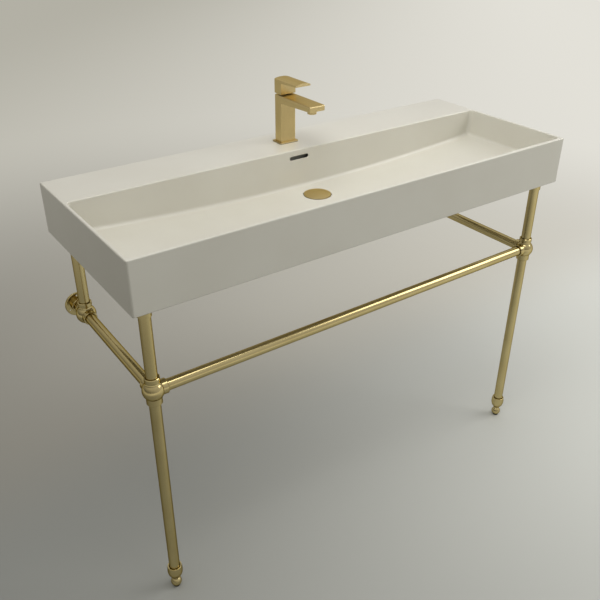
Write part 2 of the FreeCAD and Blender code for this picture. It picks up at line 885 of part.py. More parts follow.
def faucet_base():
    """Wide thin plate under the column and the gasket under it, both open inside."""
    plate = new_body("faucet_base_plate")
    flare, low = s.base_plate_flare, s.base_gasket_thickness
    half_x, half_y = half_column_width + flare, half_column_depth + flare
    square = rounded_square(half_x, half_y, s.column_edge)
    pad = extrude(plate, "Pad", outline(plate, "XY_Plane", "plate", square, low), s.base_plate_thickness)
    taper = f"-atan({s.base_plate_bevel.formula} / {s.base_plate_thickness.formula})"
    pad.setExpression("TaperAngle", taper)
    opening = circles(plate, "XY_Plane", "plate_opening", [(0, 0)], s.base_opening, low)
    extrude(plate, "Pocket", opening, s.base_plate_thickness + s.overrun)
    piece(plate, "faucet_base_plate", tap_spot)
    gasket = new_body("faucet_base_gasket")
    inset = s.base_gasket_inset
    square = rounded_square(half_x - inset, half_y - inset, s.column_edge)
    extrude(gasket, "Pad", outline(gasket, "XY_Plane", "gasket", square), low)
    opening = circles(gasket, "XY_Plane", "gasket_opening", [(0, 0)], s.base_opening)
    extrude(gasket, "Pocket", opening, low + s.overrun)
    piece(gasket, "faucet_base_gasket", tap_spot)


def aerator():
    """Threaded ring under the spout and the perforated insert that it holds."""
    seat_level = s.column_top - s.aerator_seat_drop
    low = s.column_top - s.aerator_drop
    bore = s.aerator_bore / 2
    outer = s.aerator_diameter / 2
    thread = s.aerator_thread / 2
    lip = bore - s.aerator_lip
    spot = moved(tap_spot, TO_USER, s.aerator_set_out)
    housing = turned("aerator_housing", [
        (lip, low),
        (outer - s.aerator_lip / 2, low),
        (outer, low + s.aerator_lip / 2),
        (outer, seat_level),
        (thread, seat_level),
        (thread, seat_level + s.aerator_engagement),
        (bore, seat_level + s.aerator_engagement),
        (bore, low + s.aerator_lip),
        (lip, low + s.aerator_lip),
    ])
    piece(housing, "aerator_housing", spot)
    insert = turned("aerator_insert", oblong(
        ZERO, bore - s.running_clearance, low + s.aerator_lip, seat_level,
    ))
    piece(insert, "aerator_insert", spot)


def cartridge():
    """Cartridge body in the chamber, held down by its nut."""
    outer = s.cartridge_diameter / 2
    recess = s.turntable_diameter / 2 + s.running_clearance
    recess_floor = cartridge_top - s.turntable_recess
    well = s.stem_well_diameter / 2
    well_floor = cartridge_top - s.stem_well_depth
    body = turned("cartridge_body", [
        (ZERO, chamber_floor),
        (outer, chamber_floor),
        (outer, cartridge_top),
        (recess, cartridge_top),
        (recess, recess_floor),
        (well, recess_floor),
        (well, well_floor),
        (ZERO, well_floor),
    ])
    piece(body, "cartridge_body", tap_spot)
    top = cartridge_top + s.cartridge_nut_height
    opening, thread = s.cartridge_nut_opening / 2, s.cartridge_nut_diameter / 2
    nut = ring("cartridge_nut", opening, thread, cartridge_top, top)
    piece(nut, "cartridge_nut", tap_spot)


def cartridge_carrier():
    """Turntable that swivels in the cartridge, with the pin that the stem tips on."""
    low = cartridge_top - s.turntable_recess
    body = turned("cartridge_turntable", oblong(
        ZERO, s.turntable_diameter / 2, low, low + s.turntable_height,
    ))
    half_x = s.stem_width / 2 + s.stem_slot_gap
    half_y = s.turntable_slot_length / 2
    slot = outline(body, "XY_Plane", "stem_slot", oblong(-half_x, half_x, -half_y, half_y), low)
    extrude(body, "Pocket", slot, s.turntable_height + s.overrun)
    hole = circles(body, "YZ_Plane", "pin_hole", [(0, pivot)], s.pin_diameter)
    extrude(body, "Pocket", hole, s.pin_length, both_ways=True)
    piece(body, "cartridge_turntable", tap_spot)
    pin = solid("Cylinder", (ZERO, ZERO, ZERO), Radius=s.pin_diameter / 2, Height=s.pin_length)
    start = moved(moved(tap_spot, UP, pivot), LEFT, s.pin_length / 2)
    piece(pin, "cartridge_pin", start, RIGHT)


def cartridge_stem():
    """Square stem, bored for the pin, that carries the lever."""
    body = new_body("cartridge_stem")
    half = s.stem_width / 2
    low = pivot - s.stem_below_pivot
    sketch = outline(body, "XY_Plane", "stem", oblong(-half, half, -half, half), low)
    extrude(body, "Pad", sketch, s.stem_below_pivot + s.stem_above_pivot)
    bore = s.pin_diameter + s.running_clearance * 2
    hole = circles(body, "YZ_Plane", "pin_bore", [(0, pivot)], bore)
    extrude(body, "Pocket", hole, s.stem_width + s.overrun, both_ways=True)
    piece(body, "cartridge_stem", tap_spot)


head_under = s.column_top + s.head_gap
head_top = head_under + s.head_height
set_screw_level = head_under + s.set_screw_rise
head_back = half_column_depth + s.head_overhang


def lever_handle():
    """Lever block and blade. Its back underside rises so that the block can tip back."""
    body = new_body("lever_handle")
    half, corner = half_column_width, s.column_edge
    back, tip = head_back, -s.lever_reach
    plan = [
        (corner - half, tip),
        (half - corner, tip, corner),
        (half, tip + corner),
        (half, back - corner, corner),
        (half - corner, back),
        (corner - half, back, corner),
        (-half, back - corner),
        (-half, tip + corner, corner),
    ]
    extrude(body, "Pad", outline(body, "XY_Plane", "lever_plan", plan, head_under), s.head_height)
    lever_side_cuts(body, back, tip)
    lever_crown(body)
    lever_hollows(body)
    piece(body, "lever_handle", tap_spot)


def lever_side_cuts(body, back, tip):
    """Cut the blade free of the block, raise the back underside, round the back top edge."""
    front, past = -half_column_depth, s.overrun
    bend, nose = s.head_back_round, s.blade_tip_round
    cuts = {
        "under_blade": [
            (front, head_under - past),
            (front, head_top - s.blade_root_thickness),
            (tip, head_top - s.blade_tip_thickness),
            (tip - past, head_top - s.blade_tip_thickness),
            (tip - past, head_under - past),
        ],
        "back_relief": [
            (s.head_relief_start, head_under),
            (back, head_under + s.head_relief),
            (back + past, head_under + s.head_relief),
            (back + past, head_under - past),
            (s.head_relief_start, head_under - past),
        ],
        "back_top_round": [
            (back, head_top - bend, bend),
            (back - bend, head_top),
            (back - bend, head_top + past),
            (back + past, head_top + past),
            (back + past, head_top - bend),
        ],
        "tip_bevel": [
            (tip, head_top - s.head_crown - nose),
            (tip + nose, head_top),
            (tip + nose, head_top + past),
            (tip - past, head_top + past),
            (tip - past, head_top - s.head_crown - nose),
        ],
    }
    for name, points in cuts.items():
        sketch = outline(body, "YZ_Plane", name, points)
        extrude(body, "Pocket", sketch, s.column_width + past, both_ways=True)


def lever_crown(body):
    """Trim the flat top to a shallow crown across its width."""
    half, crown = half_column_width, s.head_crown
    low = head_top - crown
    arch = (half * half + crown * crown) / (crown * 2)
    points = [
        (half, low, arch),
        (-half, low),
        (-half - s.overrun, low),
        (-half - s.overrun, head_top + s.overrun),
        (half + s.overrun, head_top + s.overrun),
        (half + s.overrun, low),
    ]
    sketch = outline(body, "XZ_Plane", "lever_crown", points)
    extrude(body, "Pocket", sketch, (s.lever_reach + s.overrun) * 2, both_ways=True)


def lever_hollows(body):
    """Stem socket, two hollows beside it and the set screw's hole from behind."""
    half_block = s.stem_block_width / 2
    half_x = half_column_width - s.head_wall
    half_y = half_column_depth - s.head_wall
    for side, (left, right) in (("left", (-half_x, -half_block)), ("right", (half_block, half_x))):
        points = oblong(left, right, -half_y, half_y)
        hollow = outline(body, "XY_Plane", f"{side}_hollow", points, head_under)
        extrude(body, "Pocket", hollow, s.head_hollow_height)
    half = s.stem_width / 2 + s.thread_clearance
    socket = outline(body, "XY_Plane", "stem_socket", oblong(-half, half, -half, half), head_under)
    depth = pivot + s.stem_above_pivot - head_under
    extrude(body, "Pocket", socket, depth)
    hole = s.set_screw_diameter + s.thread_clearance * 2
    bore = circles(body, "XZ_Plane", "set_screw_hole", [(0, set_screw_level)], hole)
    extrude(body, "Pocket", bore, head_back + s.overrun, along_normal=False)


def lever_fixing():
    """Set screw against the stem, and the plug that closes its hole."""
    radius = s.set_screw_diameter / 2
    start = moved(moved(tap_spot, UP, set_screw_level), TO_WALL, s.stem_width / 2)
    screw = solid("Cylinder", (ZERO, ZERO, ZERO), Radius=radius, Height=s.set_screw_length)
    piece(screw, "lever_set_screw", start, TO_WALL)
    start = moved(start, TO_WALL, head_back - s.stem_width / 2 - s.plug_depth)
    plug = solid("Cylinder", (ZERO, ZERO, ZERO), Radius=radius, Height=s.plug_depth)
    piece(plug, "lever_plug", start, TO_WALL)


def clamp_half_moon(label, low, thickness):
    """Half-moon under the shelf, slotted towards the user for the supply pipes."""
    body = new_body(label)
    disc = circles(body, "XY_Plane", f"{label}_disc", [(0, 0)], s.clamp_diameter, low)
    extrude(body, "Pad", disc, thickness)
    half = s.clamp_slot_width / 2
    points = oblong(-half, half, -s.clamp_diameter, s.clamp_slot_end)
    slot = outline(body, "XY_Plane", f"{label}_slot", points, low)
    extrude(body, "Pocket", slot, thickness + s.overrun)
    bore = s.stud_diameter + s.socket_clearance * 2
    hole = circles(body, "XY_Plane", f"{label}_hole", [(0, stud_y)], bore, low)
    extrude(body, "Pocket", hole, thickness + s.overrun)
    piece(body, label, tap_spot)


def faucet_fixing():
    """Stud in the column, half-moon gasket and plate under the shelf, and the nut."""
    radius = s.stud_diameter / 2
    bottom = moved(moved(tap_spot, TO_WALL, stud_y), DOWN, s.stud_drop)
    length = s.stud_drop + column_foot + s.stud_depth
    stud = solid("Cylinder", (ZERO, ZERO, ZERO), Radius=radius, Height=length)
    piece(stud, "faucet_stud", bottom)
    clamp_half_moon("clamp_gasket", clamp_gasket_under, s.clamp_gasket_thickness)
    clamp_half_moon("clamp_plate", clamp_under, s.clamp_plate_thickness)
    spot = moved(moved(tap_spot, TO_WALL, stud_y), UP, clamp_under - s.stud_nut_height)
    circumradius = s.stud_nut_width / math.sqrt(3)
    bore = radius + s.thread_clearance
    prism = solid("Prism", (ZERO, ZERO, ZERO), Circumradius=circumradius, Height=s.stud_nut_height)
    core = solid("Cylinder", (ZERO, ZERO, ZERO), Radius=bore, Height=s.stud_nut_height)
    piece(cut(prism, [core]), "stud_nut", spot)


faucet_body()
faucet_base()
aerator()
cartridge()
cartridge_carrier()
cartridge_stem()
lever_handle()
lever_fixing()
faucet_fixing()


# Stand: ball joints with sockets, and the tubes that seat in them

grub_screws = []


def grub_spot(centre, arm, reach, radial):
    """Where a grub screw meets the tube, on one side of a socket near its mouth."""
    return moved(moved(centre, arm, reach - s.grub_inset), radial, tube_radius)


def grub_hole(spot, radial):
    radius = s.grub_diameter / 2 + s.running_clearance
    return solid("Cylinder", spot, radial, Radius=radius, Height=s.overrun)


def grub_screw(spot, radial):
    """Screw with a six-sided key recess in its outer end."""
    shank = solid("Cylinder", spot, radial, Radius=s.grub_diameter / 2, Height=s.grub_length)
    key_spot = moved(spot, radial, s.grub_length - s.grub_key_depth)
    circumradius = s.grub_key_width / math.sqrt(3)
    key = solid("Prism", key_spot, radial, Circumradius=circumradius, Height=s.overrun)
    grub_screws.append(cut(shank, [key]))


def socket_arm(centre, arm, reach):
    """Straight socket from the ball's centre, with a bevelled lip at its mouth."""
    radius = s.socket_diameter / 2
    barrel = solid("Cylinder", centre, arm, Radius=radius, Height=reach - s.socket_lip)
    lip_spot = moved(centre, arm, reach - s.socket_lip)
    lip = solid("Cone", lip_spot, arm, Radius1=radius, Radius2=radius - s.socket_lip, Height=s.socket_lip)
    return [barrel, lip]


def mouth_relief(centre, arm, reach):
    """Shallow ring gap round the tube at a socket's mouth, which shows as a dark line."""
    spot = moved(centre, arm, reach - s.mouth_relief_depth)
    radius = socket_bore_radius + s.mouth_relief
    return solid("Cylinder", spot, arm, Radius=radius, Height=s.mouth_relief_depth + s.overrun)


def joint_core(label, centre, has_leg):
    """Turned ball with a waisted neck and bead for the post, and a grooved collar for a leg."""
    ball, neck, waist = s.ball_diameter / 2, s.socket_diameter / 2, s.neck_waist_diameter / 2
    lip, crease, flare = s.socket_lip, s.ball_crease_drop, s.neck_flare
    flare_level = chord_half(ball + flare, waist + flare)
    share = ball / (ball + flare)
    bead = flare_level + s.neck_waist_run
    points = [(ZERO, -ball, ball)]
    if has_leg:
        collar, groove = s.leg_collar_diameter / 2, s.ball_groove_diameter / 2
        points = [
            (ZERO, -s.leg_socket_reach),
            (collar - lip, -s.leg_socket_reach),
            (collar, lip - s.leg_socket_reach),
            (collar, -crease - s.ball_groove_width),
            (groove, -crease - s.ball_groove_width),
            (groove, -crease),
            (chord_half(ball, crease), -crease, ball),
        ]
    points += [
        ((waist + flare) * share, flare_level * share, -flare),
        (waist, flare_level),
        (waist, bead),
        (neck, bead + neck - waist),
        (neck, s.neck_reach - lip),
        (neck - lip, s.neck_reach),
        (ZERO, s.neck_reach),
    ]
    return place(turned(f"{label}_core", points), centre)


def ball_joint(label, centre, arms):
    """Cast joint: the turned core and the sockets beside it, each bored for its tube.

    Each arm gives its direction, its reach, its depth and the side of its grub screw."""
    directions = [arm[0] for arm in arms]
    body = [joint_core(label, centre, DOWN in directions)]
    tools = []
    for arm, reach, depth, radial in arms:
        if arm not in (UP, DOWN):
            body += socket_arm(centre, arm, reach)
        seat_spot = moved(centre, arm, reach - depth)
        bore = solid("Cylinder", seat_spot, arm, Radius=socket_bore_radius, Height=depth + s.overrun)
        tools.append(bore)
        tools.append(mouth_relief(centre, arm, reach))
        spot = grub_spot(centre, arm, reach, radial)
        tools.append(grub_hole(spot, radial))
        grub_screw(spot, radial)
    piece(cut(fused(body), tools), label)


def tube(label, start, towards, length):
    """Brass tube from a start point, bored through."""
    piece(ring(label, tube_bore_radius, tube_radius, ZERO, length), label, start, towards)


post_cap_under = under - s.post_pad_thickness - s.post_cap_thickness
post_foot = rail_level + s.neck_reach - s.neck_depth
rail_seat = s.rail_socket_reach - s.rail_socket_depth
leg_seat = s.leg_socket_reach - s.leg_socket_depth
wall_seat = s.wall_socket_reach - s.wall_socket_depth
post_pads = []


def post(label, x, y):
    """Upright from its joint to the basin, with a flanged cap and a rubber pad on top."""
    tube(f"{label}_post", (x, y, post_foot), UP, post_cap_under - post_foot)
    outer = s.post_cap_diameter / 2
    spigot = tube_bore_radius - s.running_clearance
    mouth = socket_bore_radius + s.post_cap_skirt_lip
    cap = turned(f"{label}_post_cap", [
        (ZERO, -s.post_cap_spigot),
        (spigot, -s.post_cap_spigot),
        (spigot, ZERO),
        (socket_bore_radius, ZERO),
        (socket_bore_radius, -s.post_cap_skirt),
        (mouth, -s.post_cap_skirt),
        (mouth, -s.post_cap_round, -s.post_cap_round),
        (mouth + s.post_cap_round, ZERO),
        (outer - s.post_cap_chamfer, ZERO),
        (outer, s.post_cap_chamfer),
        (outer, s.post_cap_thickness),
        (ZERO, s.post_cap_thickness),
    ])
    piece(cap, f"{label}_post_cap", (x, y, post_cap_under))
    spot = (x, y, post_cap_under + s.post_cap_thickness)
    radius = s.post_pad_diameter / 2
    post_pads.append(solid("Cylinder", spot, Radius=radius, Height=s.post_pad_thickness))


def wall_flange(side, x):
    """Round flange on the wall with its hub, and the spigot to the rear joint."""
    label = f"{side}_wall_flange"
    outer, hub = s.flange_diameter / 2, s.flange_hub_diameter / 2
    bend, mouth = s.flange_round, socket_bore_radius + s.mouth_relief
    relief_floor = s.flange_hub_reach - s.mouth_relief_depth
    body = turned(label, [
        (ZERO, ZERO),
        (outer, ZERO),
        (outer, s.flange_thickness - bend, bend),
        (outer - bend, s.flange_thickness),
        (hub, s.flange_thickness),
        (hub, s.flange_hub_reach - s.socket_lip),
        (hub - s.socket_lip, s.flange_hub_reach),
        (mouth, s.flange_hub_reach),
        (mouth, relief_floor),
        (socket_bore_radius, relief_floor),
        (socket_bore_radius, s.flange_floor),
        (ZERO, s.flange_floor),
    ])
    top = [(0, s.flange_screw_circle / 2)]
    sketch = circles(body, "XY_Plane", f"{side}_flange_hole", top, s.flange_screw_hole)
    hole = extrude(body, "Pocket", sketch, s.flange_thickness + s.overrun)
    pattern(body, hole, FLANGE_SCREWS)
    radius = s.grub_diameter / 2 + s.running_clearance
    grub_y = s.flange_hub_reach - s.grub_inset
    grub = circles(body, "XZ_Plane", f"{side}_flange_grub", [(0, grub_y)], radius * 2)
    extrude(body, "Pocket", grub, s.flange_diameter)
    piece(body, label, (x, ZERO, rail_level), TO_USER)
    centre = (x, ZERO, rail_level)
    grub_screw(grub_spot(centre, TO_USER, s.flange_hub_reach, DOWN), DOWN)
    length = s.rear_post_set_back - wall_seat - s.flange_floor
    tube(f"{side}_wall_spigot", (x, -s.flange_floor, rail_level), TO_USER, length)


def foot(side, x):
    """Levelling foot: threaded insert in the leg, cup, ball with its stud, and pad."""
    spot = (x, front_post_y, floor)
    stud = s.foot_stud_diameter / 2
    bore = stud + s.running_clearance
    insert_top = s.leg_end_rise + s.leg_insert_length
    insert = ring(f"{side}_leg_insert", bore, tube_bore_radius, s.leg_end_rise, insert_top)
    piece(insert, f"{side}_leg_insert", spot)
    foot_cup(side, spot, bore)
    foot_ball(side, spot, stud)
    foot_pad(side, spot)


def foot_cup(side, spot, bore):
    """Cup round the leg's end: a thick rounded lip, a full belly and a drawn-in neck."""
    neck, outer = s.foot_neck_diameter / 2, s.foot_cup_diameter / 2
    mouth, lip = s.foot_cup_mouth_diameter / 2, s.foot_cup_lip
    well = tube_radius + s.foot_cup_gap
    bottom, shoulder, top = s.foot_cup_bottom, s.foot_cup_shoulder, s.foot_cup_mouth
    well_floor = bottom + s.foot_cup_floor
    cup = turned(f"{side}_foot_cup", [
        (bore, bottom),
        (neck, bottom, belly(outer - neck, shoulder - bottom)),
        (outer, shoulder, belly(outer - mouth, top - lip - shoulder)),
        (mouth, top - lip, lip),
        (mouth - lip, top),
        (well, top),
        (well, well_floor),
        (bore, well_floor),
    ])
    piece(cup, f"{side}_foot_cup", spot)


def foot_ball(side, spot, stud):
    """Ball on a neck, flat below for its pad, turned in one piece with its stud."""
    radius, neck = s.foot_ball_diameter / 2, s.foot_neck_diameter / 2
    flat = chord_half(radius, s.foot_ball_rise - s.foot_pad_thickness)
    shoulder = chord_half(radius, neck)
    nib, nib_top = s.foot_pad_nib_diameter / 2, s.foot_pad_thickness + s.foot_pad_nib_height
    ball = turned(f"{side}_foot", [
        (ZERO, nib_top),
        (nib, nib_top),
        (nib, s.foot_pad_thickness),
        (flat, s.foot_pad_thickness, radius),
        (neck, s.foot_ball_rise + shoulder),
        (neck, s.foot_cup_bottom),
        (stud, s.foot_cup_bottom),
        (stud, s.foot_stud_top),
        (ZERO, s.foot_stud_top),
    ])
    piece(ball, f"{side}_foot", spot)


def foot_pad(side, spot):
    """Rubber pad with a nib in the ball's underside."""
    nib, nib_top = s.foot_pad_nib_diameter / 2, s.foot_pad_thickness + s.foot_pad_nib_height
    pad = turned(f"{side}_foot_pad", [
        (ZERO, ZERO),
        (s.foot_pad_diameter / 2, ZERO),
        (s.foot_pad_diameter / 2, s.foot_pad_thickness),
        (nib, s.foot_pad_thickness),
        (nib, nib_top),
        (ZERO, nib_top),
    ])
    piece(pad, f"{side}_foot_pad", spot)


def stand_side(side, x, inward):
    """One end of the stand: two joints, two posts, leg, side rail, flange and foot."""
    front = (x, front_post_y, rail_level)
    rear = (x, rear_post_y, rail_level)
    neck = (UP, s.neck_reach, s.neck_depth)
    rail_arm = (s.rail_socket_reach, s.rail_socket_depth, DOWN)
    ball_joint(f"front_{side}_joint", front, [
        neck + (TO_WALL,),
        (DOWN, s.leg_socket_reach, s.leg_socket_depth, TO_WALL),
        (TO_WALL,) + rail_arm,
        (inward,) + rail_arm,
    ])
    ball_joint(f"rear_{side}_joint", rear, [
        neck + (inward,),
        (TO_USER,) + rail_arm,
        (TO_WALL, s.wall_socket_reach, s.wall_socket_depth, DOWN),
    ])
    post(f"front_{side}", x, front_post_y)
    post(f"rear_{side}", x, rear_post_y)
    leg_foot = floor + s.leg_end_rise
    tube(f"{side}_leg", (x, front_post_y, leg_foot), UP, rail_level - leg_seat - leg_foot)
    rail_length = rear_post_y - front_post_y - rail_seat * 2
    tube(f"{side}_side_rail", moved(front, TO_WALL, rail_seat), TO_WALL, rail_length)
    wall_flange(side, x)
    foot(side, x)


def grouped(label, solids):
    group = doc.addObject("Part::Compound", label)
    group.Links = solids
    piece(group, label)


stand_side("left", -post_x, RIGHT)
stand_side("right", post_x, LEFT)
front_rail_start = (rail_seat - post_x, front_post_y, rail_level)
tube("front_rail", front_rail_start, RIGHT, (post_x - rail_seat) * 2)
grouped("post_pads", post_pads)
grouped("fitting_set_screws", grub_screws)


# Every object has to be sound, and every cut has to take something away

doc.recompute()
for item in doc.Objects:
    if {"Invalid", "Error"} & set(item.State):
        raise RuntimeError(f"{item.Label} failed: {item.State}")
    if item.TypeId in ("PartDesign::Pocket", "PartDesign::Groove"):
        if item.Shape.Volume >= item.BaseFeature.Shape.Volume:
            raise RuntimeError(f"{item.Label} cuts nothing")
for item in pieces:
    if item.Shape.isNull() or not item.Shape.isValid():
        raise RuntimeError(f"{item.Label} has no valid shape")

os.makedirs("parts", exist_ok=True)
for item in pieces:
    item.Shape.exportStep(f"parts/{item.Label}.step")
    print(item.Label, len(item.Shape.Solids), round(item.Shape.Volume))
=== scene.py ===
import bpy
import math
import numpy as np
from mathutils import Matrix, Vector


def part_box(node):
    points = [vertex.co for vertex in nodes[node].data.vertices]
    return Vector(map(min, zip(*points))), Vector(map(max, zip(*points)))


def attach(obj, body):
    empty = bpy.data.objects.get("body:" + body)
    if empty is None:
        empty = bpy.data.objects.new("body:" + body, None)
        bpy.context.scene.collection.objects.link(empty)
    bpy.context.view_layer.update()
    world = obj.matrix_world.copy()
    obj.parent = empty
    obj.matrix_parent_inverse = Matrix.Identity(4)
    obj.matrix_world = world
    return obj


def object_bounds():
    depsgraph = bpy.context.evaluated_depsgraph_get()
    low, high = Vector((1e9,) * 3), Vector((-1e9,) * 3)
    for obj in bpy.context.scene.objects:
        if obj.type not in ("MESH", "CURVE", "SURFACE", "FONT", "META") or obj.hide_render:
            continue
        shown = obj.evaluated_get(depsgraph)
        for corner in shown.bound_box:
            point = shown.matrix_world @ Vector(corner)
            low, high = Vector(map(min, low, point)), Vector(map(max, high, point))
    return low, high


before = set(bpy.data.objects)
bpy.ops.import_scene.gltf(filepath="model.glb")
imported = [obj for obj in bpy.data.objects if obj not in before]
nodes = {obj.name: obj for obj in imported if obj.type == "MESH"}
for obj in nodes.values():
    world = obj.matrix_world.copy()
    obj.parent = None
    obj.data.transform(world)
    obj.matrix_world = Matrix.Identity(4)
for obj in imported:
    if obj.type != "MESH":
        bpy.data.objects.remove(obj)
cad_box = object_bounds()


# Basin: a trough cast in one piece of fireclay, with a warm satin glaze over every face
# that shows. The back and the underside stay bare clay. Inside the overflow's duct the glaze is
# matt and coloured near black, as painted shade standing in for the shade in its depth.

GLAZE_COLOUR = (0.69, 0.675, 0.60, 1)
GLAZE_CLOUD_COLOUR = (0.665, 0.647, 0.57, 1)
BARE_CLAY_COLOUR = (0.50, 0.46, 0.39, 1)
DUCT_PAINTED_SHADE_COLOUR = (0.004, 0.0038, 0.0035, 1)
GLAZE_CLOUDS_PER_METRE = 6
GLAZE_CLOUD_SPAN = (0.3, 0.7)
GLAZE_RIPPLES_PER_METRE = 40
GLAZE_SPECKS_PER_METRE = 420
GLAZE_SPECK_SPAN = (0.74, 0.80)
GLAZE_SPECK_SHARE = 0.10
GLAZE_ROUGHNESS = (0.29, 0.05)
GLAZE_COAT = 0.30
GLAZE_RELIEF = (0.05, 0.002)
CLAY_GRAINS_PER_METRE = 900
CLAY_ADDED_ROUGHNESS = 0.45
CLAY_FADE = 0.0015
BOWL_BACK = -0.1445
DUCT_CENTRE = -0.008
DUCT_HALF_WIDTH = 0.0318
DUCT_BACK = -0.131
DUCT_TOP_BELOW_RIM = 0.0095
DUCT_FADE = 0.0012


class Flow:
    """A value that flows through a finish's nodes. Operators on it add Math nodes."""

    def __init__(self, tree, socket=None):
        self.tree = tree
        self.socket = socket

    def node(self, kind, settings=None, sockets=None, out=0):
        """Any node: its settings are set first, then its sockets are filled or linked."""
        made = self.tree.nodes.new(f"ShaderNode{kind}")
        for name, setting in (settings or {}).items():
            setattr(made, name, setting)
        for name, value in (sockets or {}).items():
            self.feed(made.inputs[name], value)
        return Flow(self.tree, made.outputs[out])

    def outputs(self, *names):
        """Other outputs of the node that this value comes from."""
        return [Flow(self.tree, self.socket.node.outputs[name]) for name in names]

    def feed(self, socket, value):
        """Link another flow into a socket, or set the socket's own value."""
        if isinstance(value, Flow):
            self.tree.links.new(value.socket, socket)
        else:
            socket.default_value = value

    def maths(self, operation, first, second=0.0):
        return self.node("Math", {"operation": operation}, {0: first, 1: second})

    def __add__(self, other):
        return self.maths("ADD", self, other)

    def __radd__(self, other):
        return self.maths("ADD", other, self)

    def __sub__(self, other):
        return self.maths("SUBTRACT", self, other)

    def __rsub__(self, other):
        return self.maths("SUBTRACT", other, self)

    def __mul__(self, other):
        return self.maths("MULTIPLY", self, other)

    def __rmul__(self, other):
        return self.maths("MULTIPLY", other, self)

    def __abs__(self):
        return self.maths("ABSOLUTE", self)

    def blend(self, low, high):
        """Colour that goes from low to high as this value goes from 0 to 1."""
        sockets = {"Factor": self, 6: low, 7: high}
        return self.node("Mix", {"data_type": "RGBA", "clamp_factor": True}, sockets, out=2)

    def step(self, low, high):
        """Smooth rise from 0 to 1 between two limits."""
        sockets = {"Value": self, "From Min": low, "From Max": high}
        return self.node("MapRange", {"interpolation_type": "SMOOTHSTEP"}, sockets)


def new_finish(name, **constants):
    """Empty finish: its material, a flow to start nodes from, and the shader's sockets."""
    material = bpy.data.materials.new(name)
    material.use_nodes = True
    shader = material.node_tree.nodes["Principled BSDF"]
    for socket, value in constants.items():
        shader.inputs[socket.replace("_", " ")].default_value = value
    return material, Flow(material.node_tree), shader.inputs


def place_of(flow, stretch=(1, 1, 1)):
    """Place on the object in metres, stretched along its axes."""
    spot = flow.node("TexCoord", out=3)
    return flow.node("Mapping", None, {"Vector": spot, "Scale": stretch})


def axes_of(flow, spot):
    """A place's distances to the right, to the back and up."""
    return flow.node("SeparateXYZ", None, {"Vector": spot}).outputs(0, 1, 2)


def noise(flow, spot, per_metre, detail=2.0, roughness=0.5):
    sockets = {"Vector": spot, "Scale": per_metre, "Detail": detail, "Roughness": roughness}
    return flow.node("TexNoise", None, sockets)


def bump(flow, height, strength, distance):
    return flow.node("Bump", None, {"Height": height, "Strength": strength, "Distance": distance})


def dress(material, *names):
    """Give CAD nodes a finish."""
    for name in names:
        slots = nodes[name].data.materials
        slots.clear()
        slots.append(material)


def fireclay_glaze():
    """Satin glaze with faint clouds, ripples and specks, bare clay behind and below, and painted shade,
    near black and matt, inside the overflow's duct.

    A roughness is its least value and what a pattern adds. A relief is a bump's strength and depth.
    """
    material, flow, shader = new_finish("fireclay_glaze", Coat_Roughness=0.14, IOR=1.5)
    low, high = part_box("basin")
    duct_top = high[2] - DUCT_TOP_BELOW_RIM
    spot = place_of(flow)
    right, depth, height = axes_of(flow, spot)
    behind = depth.step(high[1] - CLAY_FADE, high[1])
    below = 1 - height.step(low[2], low[2] + CLAY_FADE)
    bare = flow.maths("MAXIMUM", behind, below)
    within = 1 - abs(right - DUCT_CENTRE).step(DUCT_HALF_WIDTH - DUCT_FADE, DUCT_HALF_WIDTH)
    under_top = 1 - height.step(duct_top - DUCT_FADE, duct_top)
    inside = depth.step(BOWL_BACK + DUCT_FADE / 2, BOWL_BACK + DUCT_FADE * 2)
    before = 1 - depth.step(DUCT_BACK - DUCT_FADE, DUCT_BACK)
    over_bottom = height.step(low[2] + DUCT_FADE, low[2] + DUCT_FADE * 2)
    # Painted shade: the overflow's duct is coloured near black, standing in for the shade in its depth.
    painted_duct_shade = within * under_top * inside * before * over_bottom
    clouds = noise(flow, spot, GLAZE_CLOUDS_PER_METRE, detail=3)
    specks = noise(flow, spot, GLAZE_SPECKS_PER_METRE, detail=1).step(*GLAZE_SPECK_SPAN)
    glazed = clouds.step(*GLAZE_CLOUD_SPAN).blend(GLAZE_COLOUR, GLAZE_CLOUD_COLOUR)
    speckled = (specks * GLAZE_SPECK_SHARE).blend(glazed, BARE_CLAY_COLOUR)
    clay = bare.blend(speckled, BARE_CLAY_COLOUR)
    flow.feed(shader["Base Color"], painted_duct_shade.blend(clay, DUCT_PAINTED_SHADE_COLOUR))
    ripples = noise(flow, spot, GLAZE_RIPPLES_PER_METRE, detail=1)
    grains = noise(flow, spot, CLAY_GRAINS_PER_METRE)
    matt = flow.maths("MAXIMUM", bare, painted_duct_shade)
    satin = GLAZE_ROUGHNESS[0] + GLAZE_ROUGHNESS[1] * clouds
    flow.feed(shader["Roughness"], satin + matt * CLAY_ADDED_ROUGHNESS)
    flow.feed(shader["Coat Weight"], GLAZE_COAT - matt * GLAZE_COAT)
    flow.feed(shader["Normal"], bump(flow, ripples + grains * bare, *GLAZE_RELIEF))
    return material


dress(fireclay_glaze(), "basin")


# Push waste: a domed cap, brushed satin like the tap, over a turned brass tube that a nut
# clamps through the basin's floor between two rubber gaskets. The tube's thread is rolled,
# and the click cartridge inside it is moulded in white acetal.

